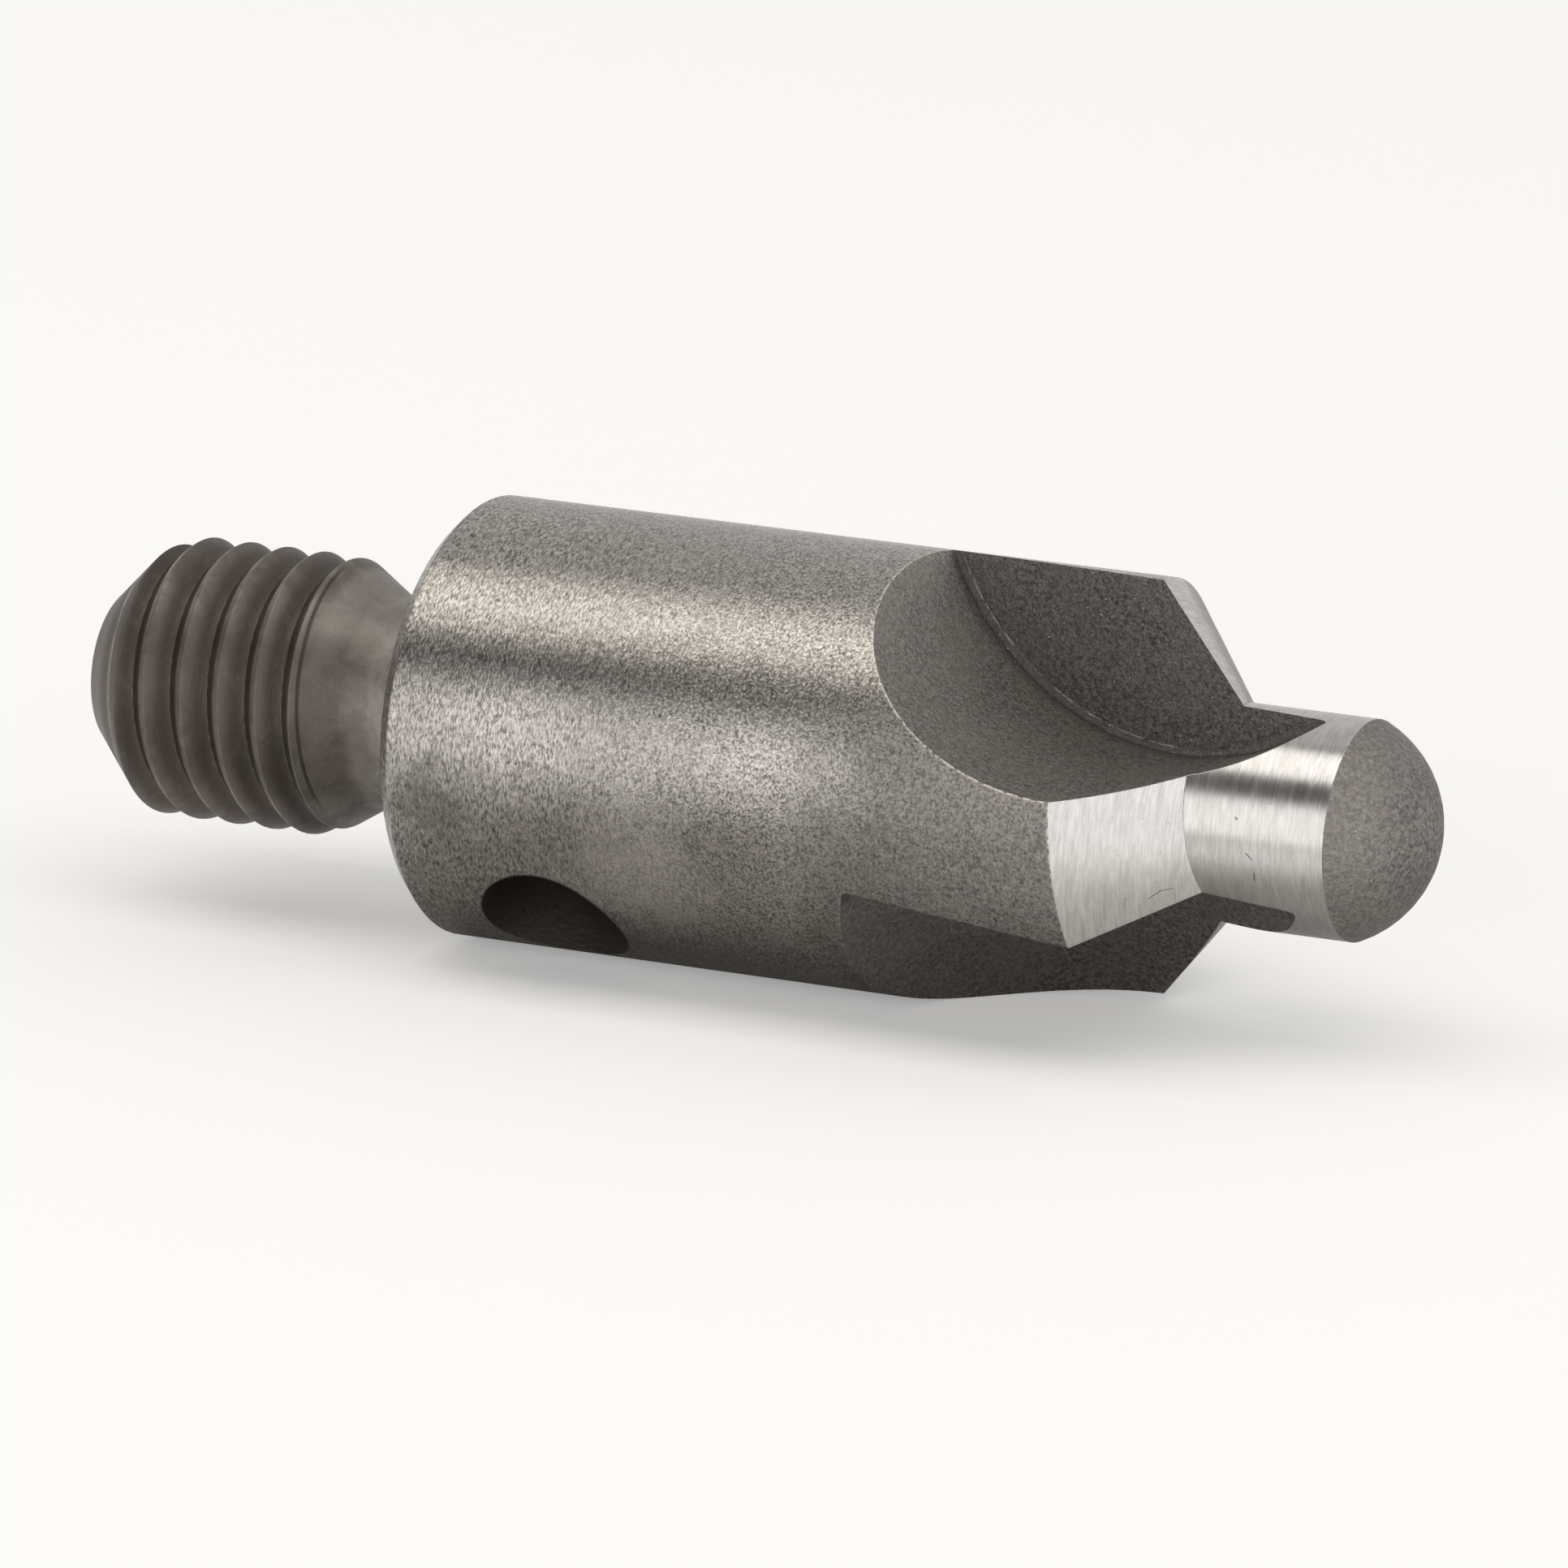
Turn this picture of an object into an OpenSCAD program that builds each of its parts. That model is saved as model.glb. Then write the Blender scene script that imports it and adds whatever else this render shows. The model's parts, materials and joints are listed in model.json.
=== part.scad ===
// Piloted countersink cutter with a threaded shank, for a stop countersink holder.
// Millimetres. The tool axis is X: threaded shank towards -X, pilot towards +X. +Z is up.
// The origin is on the tool axis in the plane of the shoulder, where the body seats on its holder.

/* [Body] */

// Diameter of the cylindrical body, 3/8 in
body_d = 9.525; // [9.1:0.025:10.1]
// Length of the body from the shoulder to the outer corner of the cutting edges
body_len = 16; // [15:0.1:17.5]
// Edge break round the shoulder
rim_break = 0.3; // [0.05:0.05:0.4]
// Finish allowance between the bores of the body and what sits in them, per side
fit_gap = 0; // [0:0.005:0.02]

/* [Cutting end] */

// Included angle of the cone that the cutting edges sweep
cone_angle = 100; // [90:1:110]
// Number of teeth
teeth = 3; // [3:1:3]
// Turn of the first cutting face about the tool axis, measured from +Y towards +Z
tooth_turn = -152.7; // [-180:0.1:180]
// Sideways shift of the cone that relieves each land behind its cutting edge
relief_shift = 0.8; // [0.3:0.05:1]
// Direction of that shift, ahead of the cutting face
relief_lead = 105; // [90:1:120]

/* [Flutes] */

// Tilt of the cutting faces against the tool axis
rake_tilt = 7.4; // [4:0.1:10]
// Distance from the shoulder at which a cutting face crosses the tool axis
rake_cross = 17.3; // [16.8:0.1:17.8]
// Radius of the wheel that cut the flutes
wheel_r = 6.15; // [6.1:0.05:6.6]
// Depth of solid core left between the flute floor and the tool axis
core_r = 1.1; // [1.05:0.05:1.4]
// Centre of the wheel behind the crossing point, along the cutting face
wheel_back = 0.87; // [0.5:0.01:1]
// Width of the wheel
wheel_w = 7; // [6.5:0.5:9]
// Radius on the wheel's corner, which leaves a fillet along each cutting face
wheel_corner = 0.15; // [0.05:0.05:0.45]
// Angle by which the wheel's rim widens away from the cutting face
wheel_flare = 2; // [0:0.5:3]

/* [Pilot] */

// Diameter of the ground pilot
pilot_d = 4.7; // [4.6:0.05:4.8]
// Distance from the shoulder to the end of the ground pilot wall
pilot_end = 20.85; // [20.6:0.05:21.5]
// Radius of the rounded nose
nose_r = 2.57; // [2.45:0.01:3.2]
// Distance from the shoulder to the bottom of the pilot's seat
seat_x = 17.1; // [17:0.05:17.2]
// Diameter of the tang behind the pilot
tang_d = 1.5; // [1.2:0.1:1.6]
// Length of the tang
tang_len = 5; // [3:0.5:7]

/* [Cross hole] */

// Diameter of the hole for a pin spanner, across the body
hole_d = 3.3; // [3:0.1:3.5]
// Distance from the shoulder to the middle of the hole
hole_x = 3.55; // [3.2:0.05:4]
// Turn of the hole about the tool axis, measured from +Y towards +Z
hole_turn = -134; // [-180:1:180]

/* [Threaded shank] */

// Diameter over the thread crests, 1/4-28 UNF
thread_d = 6.2; // [6.1:0.05:6.35]
// Thread pitch, 28 turns an inch
pitch = 0.907; // [0.8:0.001:1]
// Depth of the thread
thread_depth = 0.54; // [0.45:0.01:0.57]
// Length from the shoulder to the end of the shank
shank_len = 8.5; // [8:0.05:9]
// Diameter of the flat end of the shank, inside the chamfer
shank_end_d = 3.5; // [3:0.1:4.5]
// Distance from the shoulder at which the undercut starts to taper down from the thread
relief_x = 3.3; // [3:0.05:3.5]
// Length of the taper from the thread down to the neck
taper_len = 1.3; // [1:0.05:1.5]
// Diameter of the plain neck and of the spigot that goes into the body
neck_d = 4.6; // [4.3:0.1:4.8]
// Length of the spigot inside the body
spigot_len = 7; // [6.5:0.5:8]
// Turn of the thread's start about the tool axis, measured from +Y towards +Z
thread_turn = 75; // [0:1:359]
// Turns of full thread before the groove runs out
full_turns = 5.8; // [3:0.1:5.9]

/* [Hidden] */

body_r = body_d / 2;
pilot_r = pilot_d / 2;
hole_r = hole_d / 2;
neck_r = neck_d / 2;
tang_r = tang_d / 2;
thread_r = thread_d / 2;
root_r = thread_r - thread_depth;
half_angle = cone_angle / 2;
step = 360 / teeth;
fine = 96;

// Height of the wheel centre over the tool axis
wheel_up = core_r + wheel_r;
// The cutting corner lies this far behind the cutting face's own direction
corner_lag = asin((rake_cross - body_len) * tan(rake_tilt) / body_r);
// Distance of the cutting corner from the shifted relief cone's axis
corner_rho = sqrt(
    pow(body_r, 2) + pow(relief_shift, 2)
    - 2 * body_r * relief_shift * cos(relief_lead + corner_lag)
);
// Front end of the uncut body, past the inner end of the cutting edges
front_x = body_len + (body_r - pilot_r + 0.35) / tan(half_angle);
nose_x = pilot_end - sqrt(pow(nose_r, 2) - pow(pilot_r, 2));

// Thread groove: steps in a turn, half widths at its floor and at its open top, and the
// steps before the end of the shank, to its run-out and over the run-out itself
turn_steps = 48;
top_r = thread_r + 0.1;
floor_half = pitch * 0.42 - thread_depth * tan(30);
top_half = floor_half + (top_r - root_r) * tan(30);
groove_start = -shank_len + pitch * 0.42;
lead_steps = turn_steps;
full_steps = floor(full_turns * turn_steps);
out_steps = 6;

steel = [0.62, 0.61, 0.59];
bright = [0.8, 0.8, 0.8];
dark = [0.42, 0.38, 0.34];

// Lays something built along Z along the tool axis X
module along_x() {
    rotate([0, 90, 0])
        children();
}

// Turns a tooth drawn with its cutting face towards +Z to its place round the tool axis
module at_tooth(i) {
    rotate([tooth_turn - 90 + i * step, 0, 0])
        children();
}

// Half section of the fluting wheel, its flat side on Y = 0
module wheel_section() {
    wide_r = wheel_r + (wheel_w - wheel_corner) * tan(wheel_flare);
    square([wheel_r - wheel_corner, wheel_w]);
    translate([wheel_r - wheel_corner, wheel_corner])
        circle(r = wheel_corner, $fn = 48);
    polygon([
        [0, wheel_corner],
        [wheel_r, wheel_corner],
        [wide_r, wheel_w],
        [0, wheel_w]
    ]);
}

// What one pass of the fluting wheel takes away
module flute_cut() {
    translate([rake_cross, 0, 0])
        rotate([0, 0, -rake_tilt])
            translate([-wheel_back, 0, wheel_up])
                rotate([90, 0, 0])
                    rotate_extrude($fn = fine)
                        wheel_section();
}

module all_flutes() {
    for (i = [0 : teeth - 1])
        at_tooth(i)
            flute_cut();
}

// Prism that holds one tooth and the flute behind it
module tooth_sector() {
    reach = 30;
    lead = 15;
    translate([body_len - 3, 0, 0])
        rotate([90, 0, 90])
            linear_extrude(height = 8)
                polygon([
                    [0, 0],
                    [-reach * sin(lead), reach * cos(lead)],
                    [reach * sin(step / 2 - lead), reach * cos(step / 2 - lead)],
                    [reach * sin(step - lead), reach * cos(step - lead)]
                ]);
}

// What the relief grinding of one land takes away
module land_cut() {
    cone_len = corner_rho / tan(half_angle);
    back = 2;
    intersection() {
        tooth_sector();
        difference() {
            translate([body_len - back + 0.4, 0, 0])
                along_x()
                    cylinder(r = 2 * body_r, h = 6, $fn = fine);
            translate([
                body_len - back,
                -relief_shift * sin(relief_lead),
                relief_shift * cos(relief_lead)
            ])
                along_x()
                    cylinder(
                        r1 = corner_rho + back * tan(half_angle),
                        r2 = 0,
                        h = cone_len + back,
                        $fn = fine
                    );
        }
    }
}

// Hole right across the body for a pin spanner
module cross_hole() {
    translate([hole_x, 0, 0])
        rotate([hole_turn - 90, 0, 0])
            cylinder(r = hole_r, h = 2 * body_d, center = true, $fn = fine);
}

// Corner k of the groove's section at one station: top, floor, floor, top
function groove_point(i, k) =
    let(
        turn = thread_turn + 360 * i / turn_steps,
        side = k < 2 ? -1 : 1,
        deep = k == 1 || k == 2,
        lift = max(0, i - full_steps) / out_steps * (thread_depth + 0.05),
        dx = side * (deep ? floor_half : top_half),
        r = deep ? root_r + lift : top_r + max(0, lift - thread_depth)
    )
    [groove_start + pitch * i / turn_steps + dx, r * cos(turn), r * sin(turn)];

// One groove wound round the shank as a right-hand screw, lifted out at its inner end
module thread_groove() {
    first = -lead_steps;
    count = full_steps + out_steps - first;
    points = [
        for (i = [0 : count])
            for (k = [0 : 3])
                groove_point(first + i, k)
    ];
    sides = [
        for (i = [0 : count - 1])
            for (k = [0 : 3])
                let(a = 4 * i + k, b = 4 * i + (k + 1) % 4)
                    each [[a, a + 4, b], [b, a + 4, b + 4]]
    ];
    last = 4 * count;
    ends = [[0, 1, 2], [0, 2, 3], [last + 2, last + 1, last], [last + 3, last + 2, last]];
    polyhedron(points = points, faces = concat(sides, ends), convexity = 10);
}

// Threaded stub with its undercut neck, and the spigot that fits the body's rear bore
module threaded_shank() {
    color(dark)
        difference() {
            rotate([0, 90, 0])
                rotate_extrude($fn = fine)
                    polygon([
                        [0, -shank_len],
                        [shank_end_d / 2, -shank_len],
                        [thread_r, -shank_len + thread_r - shank_end_d / 2],
                        [thread_r, -relief_x],
                        [neck_r, -relief_x + taper_len],
                        [neck_r, spigot_len - 0.3],
                        [neck_r - 0.3, spigot_len],
                        [0, spigot_len]
                    ]);
            thread_groove();
            cross_hole();
        }
}

// Cylindrical body with the relieved cone lands, flutes, cross hole and both bores
module cutter_body() {
    color(steel)
        difference() {
            rotate([0, 90, 0])
                rotate_extrude($fn = fine)
                    polygon([
                        [0, 0],
                        [body_r - rim_break, 0],
                        [body_r, rim_break],
                        [body_r, body_len],
                        [pilot_r - 0.35, front_x],
                        [0, front_x]
                    ]);
            for (i = [0 : teeth - 1])
                at_tooth(i)
                    land_cut();
            all_flutes();
            cross_hole();
            translate([-1, 0, 0])
                along_x()
                    cylinder(r = neck_r + fit_gap, h = spigot_len + 1.2, $fn = fine);
            translate([seat_x, 0, 0])
                along_x()
                    cylinder(r = pilot_r + fit_gap, h = 5, $fn = fine);
            translate([seat_x - tang_len - 0.2, 0, 0])
                along_x()
                    cylinder(r = tang_r + fit_gap, h = tang_len + 1, $fn = fine);
        }
}

// Ground pilot with its rounded nose, cut by the ends of the flutes, on its tang
module pilot() {
    color(bright)
        difference() {
            union() {
                translate([seat_x - tang_len, 0, 0])
                    along_x()
                        cylinder(r = tang_r, h = tang_len + 1, $fn = fine);
                translate([seat_x, 0, 0])
                    along_x()
                        cylinder(r = pilot_r, h = pilot_end - seat_x, $fn = fine);
                intersection() {
                    translate([nose_x, 0, 0])
                        along_x()
                            sphere(r = nose_r, $fn = fine);
                    translate([pilot_end, -pilot_d, -pilot_d])
                        cube([4, 2 * pilot_d, 2 * pilot_d]);
                }
            }
            all_flutes();
        }
}

threaded_shank();
cutter_body();
pilot();
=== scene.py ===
import json
import math

import bpy
import numpy as np
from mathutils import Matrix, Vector


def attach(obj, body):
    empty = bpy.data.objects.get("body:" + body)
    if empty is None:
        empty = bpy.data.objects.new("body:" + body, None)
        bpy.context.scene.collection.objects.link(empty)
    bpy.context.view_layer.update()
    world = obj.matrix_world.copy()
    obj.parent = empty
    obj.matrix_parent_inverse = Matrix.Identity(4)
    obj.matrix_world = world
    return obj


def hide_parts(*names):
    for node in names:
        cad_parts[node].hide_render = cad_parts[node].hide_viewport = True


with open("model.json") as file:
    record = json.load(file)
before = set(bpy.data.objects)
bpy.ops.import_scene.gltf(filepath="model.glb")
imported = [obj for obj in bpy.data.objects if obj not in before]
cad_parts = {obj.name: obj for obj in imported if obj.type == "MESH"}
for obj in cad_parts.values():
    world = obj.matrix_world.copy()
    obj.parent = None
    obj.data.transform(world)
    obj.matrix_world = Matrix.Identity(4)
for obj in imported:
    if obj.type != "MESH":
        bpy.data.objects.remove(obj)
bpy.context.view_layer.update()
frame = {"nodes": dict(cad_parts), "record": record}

MM = 0.001

# ---------------------------------------------------------------- sizes, in millimetres
mounts = {mount["name"]: mount for mount in frame["record"]["mounts"]}

BODY_R = 4.7625
HOLE_X = mounts["spanner_hole"]["pos_m"][0] / MM
HOLE_R = mounts["spanner_hole"]["dims"]["r_mm"]
HOLE_TURN = math.atan2(mounts["spanner_hole"]["axis"][2], mounts["spanner_hole"]["axis"][1])
PILOT_R = mounts["pilot_wall"]["dims"]["r_mm"]
# End of the ground wall, where the nose starts
PILOT_END = 20.85

# Flat cutting faces: turn about the axis, tilt against it, and where the face crosses it
RAKE_TURN = math.radians(-152.7)
RAKE_TILT = math.radians(7.4)
RAKE_X = 17.3

# Both ends of the shank, with its spigot
SHANK_END = -8.5
SPIGOT_END = 7.0

# Thread: where its groove starts, and how many full turns it makes before it runs out
THREAD_R = mounts["shank_thread"]["dims"]["r_mm"]
PITCH = 0.907
GROOVE_X = -8.119
GROOVE_TURN = 75.0
FULL_TURNS = 5.8
GROOVE_DEPTH = 0.46
FLANK_ANGLE = math.radians(36.0)

# Undercut: where its taper starts and ends, and the plain neck
TAPER_START = -3.3
TAPER_END = -2.0
NECK_R = 2.3


def rake_faces():
    """Normals of the three flat cutting faces, a third of a turn apart."""
    out = []
    for i in range(3):
        turn = RAKE_TURN + i * math.tau / 3.0
        out.append(Vector((
            math.sin(RAKE_TILT),
            math.cos(RAKE_TILT) * math.sin(turn),
            -math.cos(RAKE_TILT) * math.cos(turn),
        )))
    return out


def on_pilot(x, turn):
    """Point on the pilot wall, turn degrees from +Y to +Z."""
    angle = math.radians(turn)
    return (x, PILOT_R * math.cos(angle), PILOT_R * math.sin(angle))


# Small scratches: both ends, and the half width
PILOT_NICKS = [
    (on_pilot(19.14, 182.5), on_pilot(19.26, 185.5), 0.024),
    (on_pilot(19.29, 193.0), on_pilot(19.29, 197.0), 0.022),
    (on_pilot(18.86, 164.6), on_pilot(18.90, 165.4), 0.022),
]
LAND_NICKS = [
    ((17.23, -3.0, -1.15), (17.41, -2.8, -1.01), 0.018),
    ((17.41, -2.8, -1.01), (17.59, -2.59, -0.99), 0.018),
    ((16.37, 1.91, 3.56), (16.42, 1.91, 3.50), 0.024),
    ((17.35, 1.41, 2.48), (17.39, 1.40, 2.43), 0.020),
]
FLUTE_SPOT = ((14.83, -3.93, 1.24), (14.87, -3.91, 1.24), 0.045)


# ---------------------------------------------------------------- shader graph helper
def rgba(color):
    return (*color, 1.0) if isinstance(color, tuple) and len(color) == 3 else color


def scaled_color(gain, color):
    return tuple(gain * v for v in color)


class Graph:
    """Builder for one node material, with all lengths in millimetres of the part's own frame."""

    def __init__(self, name):
        self.mat = bpy.data.materials.new(name)
        self.mat.use_nodes = True
        self.tree = self.mat.node_tree
        self.bsdf = self.tree.nodes["Principled BSDF"]
        coord = self.node("ShaderNodeTexCoord")
        self.pos = self.vec("MULTIPLY", coord.outputs["Object"], (1.0 / MM,) * 3)
        parts = self.node("ShaderNodeSeparateXYZ")
        self.link(self.pos, parts.inputs[0])
        self.x, self.y, self.z = parts.outputs[0], parts.outputs[1], parts.outputs[2]

    # Nodes and links
    def node(self, kind, **props):
        n = self.tree.nodes.new(kind)
        for key, value in props.items():
            setattr(n, key, value)
        return n

    def link(self, source, socket):
        """Feeds a socket from another node's output, or sets it to a plain value."""
        if hasattr(source, "is_output"):
            self.tree.links.new(source, socket)
        else:
            socket.default_value = source

    # Vectors
    def vec(self, op, a, b=(0.0, 0.0, 0.0)):
        n = self.node("ShaderNodeVectorMath", operation=op)
        self.link(a, n.inputs[0])
        self.link(b, n.inputs[1])
        return n.outputs["Value"] if op in ("DOT_PRODUCT", "LENGTH", "DISTANCE") else n.outputs[0]

    def stretched(self, v, factor):
        n = self.node("ShaderNodeVectorMath", operation="SCALE")
        self.link(v, n.inputs[0])
        self.link(factor, n.inputs["Scale"])
        return n.outputs[0]

    def off_axis(self):
        """Position with its part along the tool axis taken out."""
        return self.vec("MULTIPLY", self.pos, (0.0, 1.0, 1.0))

    # Numbers
    def math(self, op, a, b=0.0, c=0.0, clamp=False):
        n = self.node("ShaderNodeMath", operation=op, use_clamp=clamp)
        self.link(a, n.inputs[0])
        self.link(b, n.inputs[1])
        self.link(c, n.inputs[2])
        return n.outputs[0]

    def times(self, first, *others):
        out = first
        for other in others:
            out = self.math("MULTIPLY", out, other)
        return out

    def step(self, value, lo, hi, to_lo=0.0, to_hi=1.0):
        """Smooth step from to_lo at lo to to_hi at hi; hi may be below lo."""
        n = self.node("ShaderNodeMapRange", interpolation_type="SMOOTHSTEP")
        for i, v in enumerate((value, lo, hi, to_lo, to_hi)):
            self.link(v, n.inputs[i])
        return n.outputs[0]

    def mix(self, fac, a, b):
        n = self.node("ShaderNodeMix", data_type="FLOAT")
        self.link(fac, n.inputs[0])
        self.link(a, n.inputs[2])
        self.link(b, n.inputs[3])
        return n.outputs[0]

    def tint(self, fac, a, b):
        """Colour a, turned into colour b by fac."""
        n = self.node("ShaderNodeMix", data_type="RGBA")
        self.link(fac, n.inputs[0])
        self.link(rgba(a), n.inputs[6])
        self.link(rgba(b), n.inputs[7])
        return n.outputs[2]

    # Patterns
    def noise(self, scale, detail=2.0, rough=0.5, distort=0.0, shift=0.0):
        """scale is cycles a millimetre: one number, or one for each axis."""
        if not isinstance(scale, tuple):
            scale = (scale, scale, scale)
        v = self.vec("MULTIPLY", self.pos, scale)
        v = self.vec("ADD", v, (shift, 1.7 * shift, 0.6 * shift))
        n = self.node("ShaderNodeTexNoise", noise_dimensions="3D")
        n.inputs["Scale"].default_value = 1.0
        self.link(v, n.inputs["Vector"])
        n.inputs["Detail"].default_value = detail
        n.inputs["Roughness"].default_value = rough
        n.inputs["Distortion"].default_value = distort
        return n.outputs[0]

    def blend_of(self, a, share, b):
        """Weighted sum of two patterns, share of a and the rest of b."""
        return self.math("MULTIPLY_ADD", a, share, self.times(b, 1.0 - share))

    def nick(self, start, end, width):
        """1 on a short scratch between two points on the surface."""
        way = tuple(b - a for a, b in zip(start, end))
        unit = tuple(w / sum(v * v for v in way) for w in way)
        off = self.vec("SUBTRACT", self.pos, start)
        along = self.math("MULTIPLY", self.vec("DOT_PRODUCT", off, unit), 1.0, clamp=True)
        gap = self.vec("LENGTH", self.vec("SUBTRACT", off, self.stretched(way, along)))
        return self.step(gap, width, 0.4 * width)

    def cloud(self, centre, radius):
        """1 in the middle of a soft, ragged patch, 0 outside it."""
        ragged = 2.4
        gap = self.math("SUBTRACT", self.vec("DISTANCE", self.pos, centre), ragged / 2.0)
        gap = self.math("MULTIPLY_ADD", self.noise(1.6, 4.0, 0.65, 0.0, radius), ragged, gap)
        return self.step(gap, radius, 0.15 * radius)

    # Normals
    def soft_edge(self, radius):
        n = self.node("ShaderNodeBevel", samples=6)
        n.inputs["Radius"].default_value = radius * MM
        return n.outputs[0]

    def round_normal(self, radius):
        """Exact normal of a cylinder about the tool axis, with its sharp edges softened."""
        flat = self.node("ShaderNodeNewGeometry").outputs["Normal"]
        out = self.vec("NORMALIZE", self.off_axis())
        on_wall = self.step(self.vec("DOT_PRODUCT", out, flat), 0.985, 0.995)
        drift = self.stretched(self.vec("SUBTRACT", out, flat), on_wall)
        return self.vec("NORMALIZE", self.vec("ADD", self.soft_edge(radius), drift))

    def edge_mask(self, radius, lo, hi):
        """1 on sharp edges, 0 on plain surface."""
        flat = self.node("ShaderNodeNewGeometry").outputs["Normal"]
        same = self.vec("DOT_PRODUCT", self.soft_edge(radius), flat)
        return self.step(self.math("SUBTRACT", 1.0, same), lo, hi)

    def bump(self, height, depth, normal=None):
        n = self.node("ShaderNodeBump")
        n.inputs["Strength"].default_value = 1.0
        n.inputs["Distance"].default_value = depth * MM
        self.link(height, n.inputs["Height"])
        if normal is not None:
            self.link(normal, n.inputs["Normal"])
        return n.outputs[0]

    def finish(self, color, rough, normal, metallic=1.0):
        self.link(rgba(color), self.bsdf.inputs["Base Color"])
        self.link(rough, self.bsdf.inputs["Roughness"])
        self.link(normal, self.bsdf.inputs["Normal"])
        self.link(metallic, self.bsdf.inputs["Metallic"])
        return self.mat


# ---------------------------------------------------------------- materials
def blasted_body():
    """Cylinder of the body: short grinding streaks near the shoulder, pebbled towards the flutes."""
    g = Graph("body_blasted")
    wander = g.times(g.math("SUBTRACT", g.noise(0.4, 3.0), 0.5), 4.0)
    place = g.math("ADD", g.x, wander)
    toward = g.step(place, 2.5, 9.0)
    front = g.step(g.z, 3.3, 1.4)
    # Grain for the bump
    streak = g.noise((24.0, 5.5, 5.5), 3.0, 0.65, 0.0, 3.0)
    pebble = g.noise(14.0, 4.0, 0.70, 0.2, 11.0)
    grain = g.mix(toward, g.mix(0.4, streak, pebble), pebble)
    # Dark pits, single and in clumps
    long_pit = g.noise((24.0, 8.5, 8.5), 3.0, 0.7, 0.0, 31.0)
    round_pit = g.noise(17.0, 3.0, 0.7, 0.0, 33.0)
    single = g.step(g.mix(toward, long_pit, round_pit), 0.36, 0.63)
    clump = g.step(g.noise((11.0, 6.5, 6.5), 4.0, 0.7, 0.2, 73.0), 0.38, 0.62)
    pit = g.blend_of(single, 0.72, clump)
    blotch = g.step(g.noise(2.4, 3.0, 0.6, 0.3, 61.0), 0.33, 0.67)
    color = g.tint(pit, (0.085, 0.078, 0.071), (0.775, 0.735, 0.690))
    color = g.tint(g.times(blotch, 0.20), color, (0.68, 0.65, 0.62))
    # Painted shade on the front band below the dark gap, deepest towards the flutes and in one patch near
    # the shoulder, and left out in two spots; where deepest the band is also rougher. One lower patch is
    # smoother and painted lighter
    bright = g.math("MAXIMUM", g.cloud((3.2, -4.5, 1.5), 2.0), g.cloud((9.0, -4.6, 1.2), 1.7))
    smooth_lit_patch = g.cloud((6.2, -4.5, -1.7), 2.3)
    rougher_and_shaded = g.math("MAXIMUM", g.step(place, 8.6, 11.8), g.cloud((1.4, -4.7, -0.6), 1.7))
    painted_front_shade = g.math("MAXIMUM", g.mix(bright, 0.26, 0.0), g.times(rougher_and_shaded, 0.78))
    painted_front_shade = g.times(painted_front_shade, front, g.math("SUBTRACT", 1.0, smooth_lit_patch))
    coarse = g.step(g.noise(8.0, 5.0, 0.72, 0.2, 71.0), 0.38, 0.62)
    shaded_grain_color = g.tint(g.blend_of(pit, 0.5, coarse), (0.085, 0.077, 0.072), (0.33, 0.308, 0.29))
    color = g.tint(painted_front_shade, color, shaded_grain_color)
    # Painted light on the smoother lower patch
    color = g.tint(g.times(smooth_lit_patch, 0.28), color, (0.74, 0.71, 0.68))
    # Painted highlight: bright specks along the edges of the flutes, mostly the upper one
    speck = g.step(g.noise(15.0, 2.0, 0.6, 0.0, 8.0), 0.42, 0.54)
    flute_edges = g.times(g.step(g.x, 6.0, 8.0), g.step(g.z, -1.2, 0.6, 0.22, 1.0))
    painted_edge_glint = g.times(g.edge_mask(0.12, 0.005, 0.03), speck, flute_edges)
    color = g.tint(painted_edge_glint, color, (0.92, 0.87, 0.79))
    rough = g.mix(g.times(rougher_and_shaded, front), g.mix(toward, 0.25, 0.18), 0.40)
    rough = g.mix(smooth_lit_patch, rough, 0.34)
    height = g.times(grain, g.mix(toward, 1.25, 0.95))
    metal = g.mix(painted_edge_glint, 1.0, 0.15)
    return g.finish(color, rough, g.bump(height, 0.0115, g.round_normal(0.09)), metal)


def above_rake(g):
    """Distance from the nearest cutting face's plane, counted only on that tooth's own side."""
    reach = 0.8
    nearest = 9.0
    for face in rake_faces():
        level = g.math("SUBTRACT", face.x * RAKE_X, g.vec("DOT_PRODUCT", g.pos, tuple(face)))
        side = g.vec("DOT_PRODUCT", g.pos, (0.0, -face.z, face.y))
        away = g.math("MAXIMUM", 0.0, g.math("SUBTRACT", reach, side))
        gap = g.math("ADD", g.math("ABSOLUTE", level), away)
        nearest = g.math("MINIMUM", nearest, gap)
    return nearest


def flute_corner(g, color):
    """Paints shade into the corner of each cut and over its fillet, and a fine broken painted highlight
    along it.
    """
    corner = above_rake(g)
    # Painted shade in the corner of the cut
    color = g.tint(g.step(corner, 0.55, 0.05, 0.0, 0.55), color, (0.09, 0.080, 0.073))
    fillet_shade = g.times(g.step(corner, 0.17, 0.12), g.step(g.x, 17.0, 15.8, 0.25, 0.62))
    color = g.tint(fillet_shade, color, (0.072, 0.062, 0.056))
    # Painted highlight: fine broken bright line along the fillet
    broken = g.step(g.noise(2.4, 4.0, 0.7, 0.0, 44.0), 0.40, 0.60)
    hair_highlight = g.times(g.step(corner, 0.012, 0.003), broken, g.step(g.x, 16.9, 16.2), 0.55)
    return g.tint(hair_highlight, color, (0.62, 0.59, 0.56))


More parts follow.
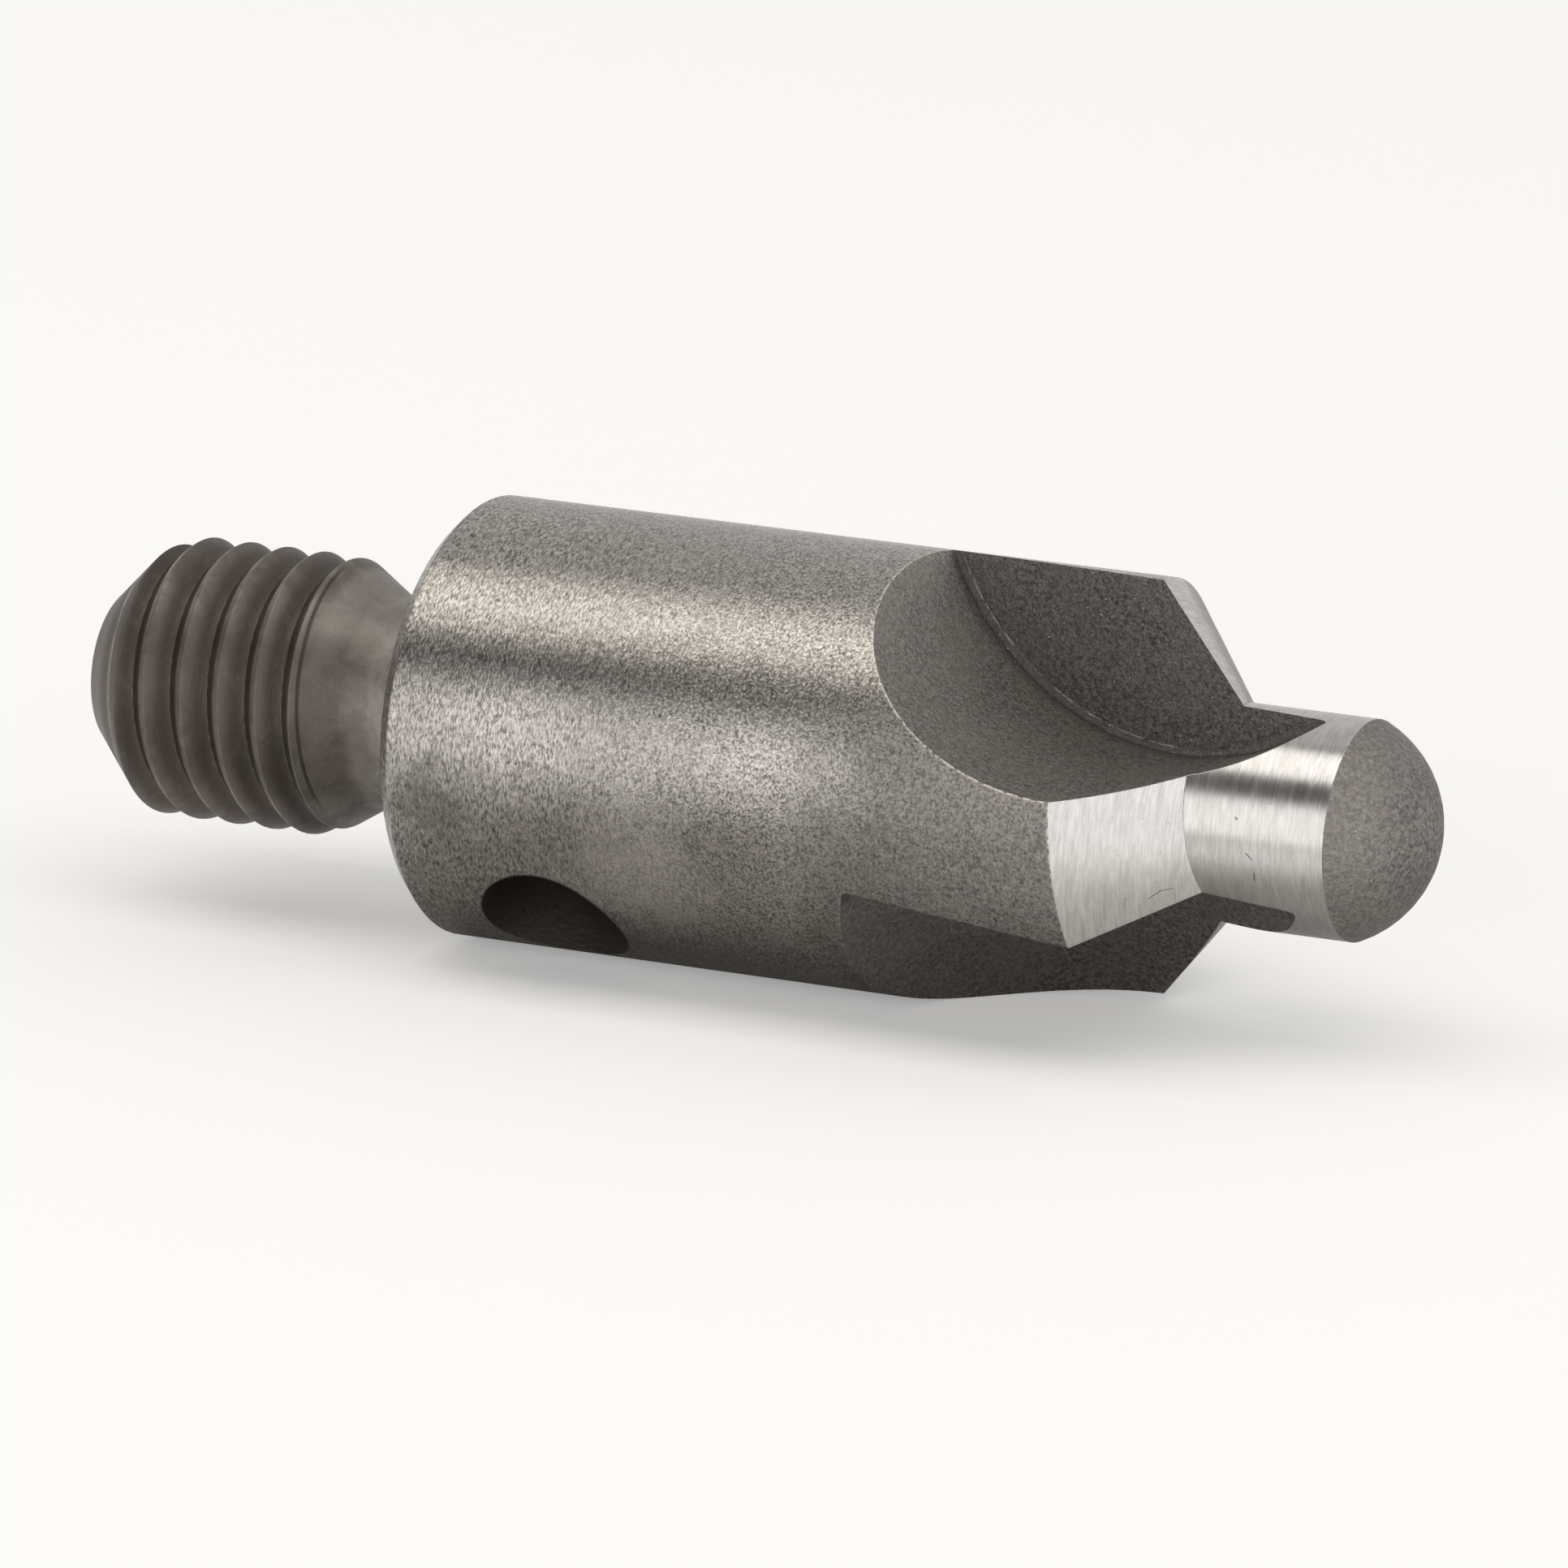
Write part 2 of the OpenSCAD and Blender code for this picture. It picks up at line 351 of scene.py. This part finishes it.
def flute_wall(name, gain, with_corner):
    """Flutes: matt, dark and grainy, with a few glints; gain sets how dark, and the cutting faces' darker
    copy is painted shade.
    """
    g = Graph(name)
    pebble = g.noise(16.0, 4.0, 0.70, 0.2, 7.0)
    clump = g.noise(9.0, 4.0, 0.7, 0.2, 39.0)
    fine = g.step(g.noise(19.0, 3.0, 0.7, 0.0, 37.0), 0.39, 0.61)
    haze = g.step(g.noise(0.8, 3.0, 0.5, 0.3, 17.0), 0.35, 0.7)
    glint = g.step(g.noise(15.0, 1.0, 0.5, 0.0, 29.0), 0.72, 0.79)
    grit = g.blend_of(fine, 0.5, g.step(clump, 0.38, 0.62))
    dark = scaled_color(gain, (0.108, 0.098, 0.090))
    light = scaled_color(gain, (0.480, 0.449, 0.423))
    color = g.tint(grit, dark, light)
    color = g.tint(g.times(haze, 0.35), color, scaled_color(gain, (0.36, 0.328, 0.302)))
    color = g.tint(g.step(g.x, 14.0, 10.0, 0.0, 0.25), color, (0.44, 0.414, 0.388))
    if with_corner:
        color = flute_corner(g, color)
    color = g.tint(g.times(glint, 0.75), color, (0.80, 0.77, 0.73))
    color = g.tint(g.times(g.nick(*FLUTE_SPOT), 0.85), color, (0.07, 0.055, 0.045))
    rough = g.mix(glint, 0.48, 0.3)
    height = g.math("MULTIPLY_ADD", clump, 0.9, pebble)
    return g.finish(color, rough, g.bump(height, 0.024, g.soft_edge(0.012)))


def ground_bright(name, bright, is_round, nicks):
    """Cone lands and pilot wall: bright, with fine grinding lines round the axis."""
    g = Graph(name)
    lines = g.noise((34.0, 1.5, 1.5), 3.0, 0.7, 0.0, 2.0)
    patch = g.step(g.noise((7.0, 1.6, 1.6), 4.0, 0.7, 0.0, 81.0), 0.36, 0.64)
    broad = g.noise((6.0, 0.5, 0.5), 2.0, 0.5, 0.0, 9.0)
    spot = g.step(g.noise(4.0, 2.0, 0.6, 0.4, 41.0), 0.68, 0.74)
    ground = g.blend_of(g.step(lines, 0.3, 0.7), 0.6, patch)
    dark = scaled_color(bright, (0.74, 0.724, 0.705))
    light = scaled_color(bright, (1.08, 1.064, 1.04))
    color = g.tint(ground, dark, light)
    color = g.tint(g.times(spot, 0.25), color, (0.3, 0.28, 0.26))
    rough = g.mix(broad, 0.17, 0.30)
    height = g.math("MULTIPLY_ADD", broad, 0.2, lines)
    for start, end, width in nicks:
        mark = g.nick(start, end, width)
        color = g.tint(g.times(mark, 0.65), color, (0.10, 0.085, 0.075))
        height = g.math("SUBTRACT", height, g.times(mark, 1.5))
    base = g.round_normal(0.03) if is_round else g.soft_edge(0.03)
    return g.finish(color, rough, g.bump(height, 0.0028, base))


def blasted_nose():
    """Nose of the pilot: grey, matt and pitted, a little lighter towards its rim."""
    g = Graph("nose_blasted")
    pebble = g.noise(14.0, 4.0, 0.68, 0.2, 13.0)
    clump = g.noise(9.0, 4.0, 0.7, 0.2, 5.0)
    fine = g.step(g.noise(16.0, 5.0, 0.75, 0.3, 3.0), 0.33, 0.67)
    patch = g.step(g.noise(1.6, 3.0, 0.6, 0.3, 91.0), 0.35, 0.65)
    glint = g.step(g.noise(14.0, 1.0, 0.5, 0.0, 23.0), 0.73, 0.80)
    rim = g.step(g.vec("LENGTH", g.off_axis()), 0.9, 2.2)
    pit = g.blend_of(fine, 0.5, g.step(clump, 0.38, 0.62))
    color = g.tint(pit, (0.095, 0.086, 0.080), (0.445, 0.416, 0.393))
    color = g.tint(g.times(patch, 0.22), color, (0.20, 0.172, 0.160))
    color = g.tint(g.times(rim, 0.28), color, (0.50, 0.475, 0.452))
    color = g.tint(g.times(glint, 0.8), color, (0.85, 0.83, 0.80))
    height = g.math("MULTIPLY_ADD", clump, 0.9, pebble)
    return g.finish(color, 0.55, g.bump(height, 0.024, g.soft_edge(0.04)))


def turn_about_axis(g):
    """Turn about the tool axis from +Y to +Z, 0 to 360 degrees."""
    degrees = g.times(g.math("ARCTAN2", g.z, g.y), 180.0 / math.pi)
    return g.math("MODULO", g.math("ADD", degrees, 360.0), 360.0)


def groove_offset(g, turn):
    """Distance along the axis from the middle of the nearest groove, negative towards the shank's end."""
    start = GROOVE_TURN / 360.0 - GROOVE_X / PITCH
    turns = g.math("MULTIPLY_ADD", turn, -1.0 / 360.0, start)
    turns = g.math("ADD", g.math("DIVIDE", g.x, PITCH), turns)
    nearest = g.math("FRACT", g.math("ADD", turns, 0.5))
    return g.times(g.math("SUBTRACT", nearest, 0.5), PITCH)


def thread_dirt_shade_and_highlight(g, color, turn):
    """Darkens the roots with dirt and painted shade, paints shade onto the flanks that face the neck, and
    paints a broken highlight, partly rubbed metal, along the crest edge beyond each groove.
    """
    radius = g.vec("LENGTH", g.off_axis())
    # Roots darker: part dirt, part painted shade
    root = g.times(g.step(g.x, -2.6, -3.4), g.step(radius, 3.06, 2.80))
    color = g.tint(g.times(root, 0.72), color, (0.085, 0.071, 0.061))
    threaded = g.times(g.step(g.x, -3.2, -3.5), g.step(g.x, -8.2, -7.9))
    offset = groove_offset(g, turn)
    # Painted shade on the flanks that face the neck
    flank_shade = g.step(g.math("ABSOLUTE", g.math("ADD", offset, 0.22)), 0.34, 0.18)
    color = g.tint(g.times(flank_shade, threaded, 0.45), color, (0.12, 0.101, 0.088))
    # Painted highlight along the crest edge, partly rubbed metal
    crest_highlight = g.step(g.math("ABSOLUTE", g.math("SUBTRACT", offset, 0.31)), 0.10, 0.02)
    broken = g.step(g.noise(2.2, 4.0, 0.7, 0.0, 57.0), 0.34, 0.60, 0.35, 1.0)
    return g.tint(g.times(crest_highlight, threaded, broken, 0.80), color, (0.66, 0.60, 0.55))


def rolled_seam(g, turn):
    """1 on a fine helical line beside the last thread, which fades at both ends."""
    start = -2.895 - PITCH * 161.0 / 360.0
    line_x = g.math("MULTIPLY_ADD", turn, PITCH / 360.0, start)
    off = g.math("ABSOLUTE", g.math("SUBTRACT", g.x, line_x))
    return g.times(g.step(off, 0.055, 0.008), g.step(turn, 88.0, 104.0), g.step(turn, 232.0, 205.0))


def dark_shank():
    """Thread and neck: smooth brown-grey oxide, darker in the roots from dirt and painted shade, with
    painted shade at mid height, painted light on top, and a rolled seam by the neck painted dark as its
    shade.
    """
    g = Graph("shank_oxide")
    mottle = g.noise(1.5, 4.0, 0.62, 0.8, 19.0)
    stain = g.step(g.noise(2.6, 3.0, 0.6, 0.5, 51.0), 0.55, 0.72)
    lines = g.noise((18.0, 1.8, 1.8), 2.0, 0.6, 0.0, 2.0)
    grain = g.noise(15.0, 3.0, 0.65, 0.0, 6.0)
    turn = turn_about_axis(g)
    color = g.tint(g.step(mottle, 0.33, 0.67), (0.235, 0.209, 0.189), (0.355, 0.325, 0.299))
    color = thread_dirt_shade_and_highlight(g, color, turn)
    # Painted shade at mid height, all along the thread and its taper
    middle = g.times(g.step(g.z, 2.6, 1.5), g.step(g.z, -2.4, -1.2))
    shaded = g.times(g.step(g.x, -0.8, -2.4), middle, 0.52)
    color = g.tint(shaded, color, (0.11, 0.094, 0.082))
    # Painted light on top of the undercut and on the end chamfer
    lit_top = g.times(g.step(g.x, -3.0, -2.6), g.step(g.z, 1.6, 2.2))
    color = g.tint(g.times(lit_top, 0.35), color, (0.50, 0.46, 0.43))
    color = g.tint(g.step(g.x, -7.8, -8.2, 0.0, 0.35), color, (0.46, 0.42, 0.39))
    color = g.tint(g.times(stain, 0.18), color, (0.30, 0.235, 0.205))
    seam_and_its_shade = rolled_seam(g, turn)
    # Painted shade in the fine seam groove, which the bump also sinks
    color = g.tint(g.times(seam_and_its_shade, 0.70), color, (0.045, 0.036, 0.030))
    rough = g.mix(mottle, 0.40, 0.58)
    height = g.math("MULTIPLY_ADD", lines, 0.5, grain)
    height = g.math("SUBTRACT", height, g.times(seam_and_its_shade, 1.5))
    return g.finish(color, rough, g.bump(height, 0.008))


def hole_wall():
    """Wall of the cross hole, with faint drilling rings."""
    g = Graph("hole_wall")
    rings = g.noise((3.0, 9.0, 9.0), 3.0, 0.6, 0.0, 4.0)
    color = g.tint(rings, (0.22, 0.195, 0.175), (0.34, 0.305, 0.275))
    return g.finish(color, 0.42, g.bump(rings, 0.012))


blasted = blasted_body()
flute = flute_wall("flute_floor", 1.0, True)
# Cutting faces: the flute finish at 0.56 gain, as painted shade
shaded_rake = flute_wall("flute_face", 0.56, False)
land = ground_bright("land_ground", 0.83, False, LAND_NICKS)
pilot_ground = ground_bright("pilot_ground", 0.77, True, PILOT_NICKS)
nose = blasted_nose()
oxide = dark_shank()
hole = hole_wall()


# ---------------------------------------------------------------- which face gets which finish
def assign(obj, finishes, pick):
    """Gives each face the finish that pick returns for its centre, in millimetres, and its normal."""
    mesh = obj.data
    mesh.materials.clear()
    for finish in finishes:
        mesh.materials.append(finish)
    turn = obj.matrix_world.to_3x3()
    for poly in mesh.polygons:
        centre = obj.matrix_world @ poly.center / MM
        poly.material_index = finishes.index(pick(centre, turn @ poly.normal))


def in_hole(centre):
    across = Vector((0.0, math.cos(HOLE_TURN), math.sin(HOLE_TURN)))
    off = centre - Vector((HOLE_X, 0.0, 0.0))
    return (off - across * off.dot(across)).length < HOLE_R + 0.01


def on_rake(normal):
    return any(abs(normal.dot(face)) > 0.9995 for face in rake_faces())


def on_cylinder(centre, normal, radius, slack):
    """True on the wall of a cylinder of that radius about the tool axis."""
    r = math.hypot(centre.y, centre.z)
    return r > radius - slack and (centre.y * normal.y + centre.z * normal.z) / r > 0.97


def body_finish(centre, normal):
    in_front = centre.x > 15.4
    on_shoulder = centre.x < 0.21
    if in_hole(centre):
        return hole
    if in_front and normal.x > 0.5:
        return land
    if on_shoulder or on_cylinder(centre, normal, BODY_R, 0.03):
        return blasted
    return shaded_rake if on_rake(normal) else flute


def pilot_finish(centre, normal):
    if centre.x < PILOT_END + 0.01 and on_cylinder(centre, normal, PILOT_R, 0.02):
        return pilot_ground
    if normal.x > 0.1 and centre.x > PILOT_END - 0.01:
        return nose
    return shaded_rake if on_rake(normal) else flute


def shank_finish(centre, normal):
    return hole if centre.x > 0.5 and in_hole(centre) else oxide


# ---------------------------------------------------------------- shank with a rounded thread
def smooth_max(a, b, blend):
    share = np.clip(0.5 + 0.5 * (a - b) / blend, 0.0, 1.0)
    return b + (a - b) * share + blend * share * (1.0 - share)


def smooth_min(a, b, blend):
    return -smooth_max(-a, -b, blend)


def shank_radius(x, turn):
    """Radius of the shank's skin at x mm from the shoulder and turn degrees from +Y to +Z."""
    along = (turn - GROOVE_TURN) % 360.0 / 360.0
    turns = (x - GROOVE_X) / PITCH - along
    nearest = np.round(turns)
    off = np.abs(turns - nearest) * PITCH
    # The groove is 0.42 pitches wide to each side at the crests, and runs out in an eighth of a turn
    run_out = 0.125
    fade = np.clip((FULL_TURNS + run_out - nearest - along) / run_out, 0.0, 1.0)
    depth = (0.42 * PITCH - off) / math.tan(FLANK_ANGLE)
    depth = smooth_min(smooth_max(depth, 0.0, 0.34), GROOVE_DEPTH, 0.26) * fade
    end_r = 1.75
    blank = smooth_min(end_r + (x - SHANK_END), THREAD_R, 0.12)
    taper = THREAD_R - (x - TAPER_START) * (THREAD_R - NECK_R) / (TAPER_END - TAPER_START)
    blank = smooth_min(blank, smooth_max(taper, NECK_R, 0.10), 0.10)
    return smooth_min(blank, THREAD_R - depth, 0.05)


def cross_drill():
    bpy.ops.mesh.primitive_cylinder_add(vertices=96, radius=HOLE_R * MM, depth=12.0 * MM)
    drill = bpy.context.object
    drill.rotation_euler = (HOLE_TURN - math.pi / 2.0, 0.0, 0.0)
    drill.location = (HOLE_X * MM, 0.0, 0.0)
    return drill


def drilled_mesh(obj, drill):
    """The object's mesh with the drill's hole cut through it."""
    cut = obj.modifiers.new("cross_hole", "BOOLEAN")
    cut.operation = "DIFFERENCE"
    cut.solver = "EXACT"
    cut.object = drill
    bpy.context.view_layer.update()
    mesh = bpy.data.meshes.new_from_object(obj.evaluated_get(bpy.context.evaluated_depsgraph_get()))
    obj.modifiers.clear()
    return mesh


def build_shank():
    """Threaded stub, neck and spigot as one skin of rings, closed at both ends, with its cross hole."""
    sides = 144
    xs = np.concatenate([
        np.arange(SHANK_END, -2.2, PITCH / 44.0),
        np.linspace(-2.2, -1.6, 12),
        [-1.0, 0.0, 1.0, SPIGOT_END - 0.3],
    ])
    angles = np.arange(sides) * 360.0 / sides
    grid_x, grid_t = np.meshgrid(xs, angles, indexing="ij")
    radius = shank_radius(grid_x, grid_t)
    radius[xs > -1.2] = NECK_R
    rad = np.radians(grid_t)
    rings = np.stack([grid_x, radius * np.cos(rad), radius * np.sin(rad)], axis=-1).reshape(-1, 3)
    chamfer_r = NECK_R - 0.3
    last_ring = np.stack([
        np.full(sides, SPIGOT_END),
        chamfer_r * np.cos(rad[0]),
        chamfer_r * np.sin(rad[0]),
    ], axis=-1)
    centres = [[SHANK_END, 0.0, 0.0], [SPIGOT_END, 0.0, 0.0]]
    points = np.concatenate([rings, last_ring, centres]) * MM
    rows = len(xs) + 1
    first_centre, last_centre = rows * sides, rows * sides + 1
    faces = []
    for i in range(rows - 1):
        for j in range(sides):
            k = (j + 1) % sides
            faces.append((i * sides + j, i * sides + k, (i + 1) * sides + k, (i + 1) * sides + j))
    for j in range(sides):
        k = (j + 1) % sides
        faces.append((first_centre, k, j))
        faces.append((last_centre, (rows - 1) * sides + j, (rows - 1) * sides + k))
    mesh = bpy.data.meshes.new("shank_skin")
    mesh.from_pydata(points.tolist(), [], faces)
    mesh.update()
    obj = bpy.data.objects.new("shank_skin", mesh)
    bpy.context.scene.collection.objects.link(obj)
    drill = cross_drill()
    obj.data = drilled_mesh(obj, drill)
    bpy.data.objects.remove(drill, do_unlink=True)
    obj.data.shade_smooth()
    obj.data.set_sharp_from_angle(angle=math.radians(32.0))
    return obj


shank = build_shank()
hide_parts("threaded_shank")
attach(shank, "root")

assign(frame["nodes"]["cutter_body"], [blasted, flute, land, hole, shaded_rake], body_finish)
assign(frame["nodes"]["pilot"], [pilot_ground, nose, flute, shaded_rake], pilot_finish)
assign(shank, [oxide, hole], shank_finish)


# ---------------------------------------------------------------- floor
def floor_paper():
    """White paper to the camera; reflections see a dimmer table with brighter pools."""
    g = Graph("floor_paper")
    seen = g.node("ShaderNodeLightPath").outputs["Is Camera Ray"]
    front = g.times(g.step(g.y, -14.0, -65.0), 0.8)
    right = g.times(g.step(g.x, 14.0, 52.0), 0.60)
    pool = g.times(g.step(g.x, 4.0, 13.0), g.step(g.y, -4.0, -12.0, 0.0, 0.45))
    left = g.times(g.step(g.x, 0.0, -5.0), 0.40)
    glow = g.math("MAXIMUM", g.math("MAXIMUM", front, pool), g.math("MAXIMUM", right, left))
    g.link(g.mix(seen, glow, 0.29), g.bsdf.inputs["Emission Strength"])
    g.link(g.tint(seen, (0.50, 0.49, 0.475), (0.94, 0.94, 0.94)), g.bsdf.inputs["Base Color"])
    g.bsdf.inputs["Emission Color"].default_value = (1.0, 1.0, 1.0, 1.0)
    g.bsdf.inputs["Specular IOR Level"].default_value = 0.1
    g.bsdf.inputs["Roughness"].default_value = 0.9
    return g.mat


bpy.ops.mesh.primitive_plane_add(size=6.0, location=(0.0, 0.0, -BODY_R * MM))
floor = bpy.context.object
floor.name = "floor"
floor.data.materials.append(floor_paper())


# ---------------------------------------------------------------- studio light
scene = bpy.context.scene
# Angle over the front horizon in degrees, and the studio's brightness there
WALLS = [(-180, 0.55), (0, 1.2), (28, 1.2), (39, 0.06), (98, 0.09), (109, 0.50), (150, 0.55), (180, 0.60)]


def studio_world():
    """Bright walls and a dark ceiling round the tool axis, and a bright card low down on the right."""
    world = bpy.data.worlds.new("studio")
    world.use_nodes = True
    tree = world.node_tree

    def feed(source, socket):
        if hasattr(source, "is_output"):
            tree.links.new(source, socket)
        else:
            socket.default_value = source

    def number(op, a, b):
        n = tree.nodes.new("ShaderNodeMath")
        n.operation = op
        feed(a, n.inputs[0])
        feed(b, n.inputs[1])
        return n.outputs[0]

    def step(value, start, end, low=0.0, high=1.0):
        n = tree.nodes.new("ShaderNodeMapRange")
        n.interpolation_type = "SMOOTHSTEP"
        for i, v in enumerate((value, start, end, low, high)):
            feed(v, n.inputs[i])
        return n.outputs[0]

    coord = tree.nodes.new("ShaderNodeTexCoord")
    way = tree.nodes.new("ShaderNodeSeparateXYZ")
    feed(coord.outputs["Generated"], way.inputs[0])
    x, y, z = way.outputs[0], way.outputs[1], way.outputs[2]
    angle = number("MULTIPLY", number("ARCTAN2", z, number("MULTIPLY", y, -1.0)), 180.0 / math.pi)
    ramp = tree.nodes.new("ShaderNodeValToRGB")
    ramp.color_ramp.interpolation = "EASE"
    feed(number("DIVIDE", number("ADD", angle, 180.0), 360.0), ramp.inputs[0])
    points = ramp.color_ramp.elements
    while len(points) < len(WALLS):
        points.new(0.5)
    for point, (degrees, level) in zip(points, WALLS):
        point.position = (degrees + 180.0) / 360.0
        point.color = (level, level * 0.985, level * 0.965, 1.0)
    card = tree.nodes.new("ShaderNodeMix")
    card.data_type = "RGBA"
    feed(number("MULTIPLY", step(x, 0.62, 0.84), step(z, 0.66, 0.5)), card.inputs[0])
    feed(ramp.outputs[0], card.inputs[6])
    feed(step(z, 0.0, 0.36, 0.98, 1.08), card.inputs[7])
    background = tree.nodes["Background"]
    feed(card.outputs[2], background.inputs[0])
    background.inputs[1].default_value = 1.0
    return world


def overhead_softbox():
    """Wide soft light over the front of the tool."""
    brightness = 1.42
    light = bpy.data.lights.new("overhead_softbox", "AREA")
    light.shape = "RECTANGLE"
    light.size = 1.3
    light.size_y = 0.32
    light.energy = brightness * math.pi * light.size * light.size_y
    light.color = (1.0, 0.967, 0.915)
    box = bpy.data.objects.new("overhead_softbox", light)
    box.location = (-0.15, -0.116, 0.5)
    scene.collection.objects.link(box)


def studio_camera():
    """Long lens at the photograph's angle, to the right of the front and a little above the tool."""
    azimuth, elevation = math.radians(25.904), math.radians(15.890)
    back = Vector((
        math.sin(azimuth) * math.cos(elevation),
        -math.cos(azimuth) * math.cos(elevation),
        math.sin(elevation),
    ))
    aim = Vector((7.359, 0.0, -0.663)) * MM
    distance = 267.19 * MM
    data = bpy.data.cameras.new("camera")
    data.sensor_width = 36.0
    data.lens = 288.16
    data.clip_start = 0.01
    data.clip_end = 20.0
    camera = bpy.data.objects.new("camera", data)
    camera.location = aim + back * distance
    camera.rotation_euler = (-back).to_track_quat("-Z", "Y").to_euler()
    scene.collection.objects.link(camera)
    return camera


scene.world = studio_world()
overhead_softbox()
scene.camera = studio_camera()
scene.view_settings.view_transform = "Standard"
scene.view_settings.look = "None"
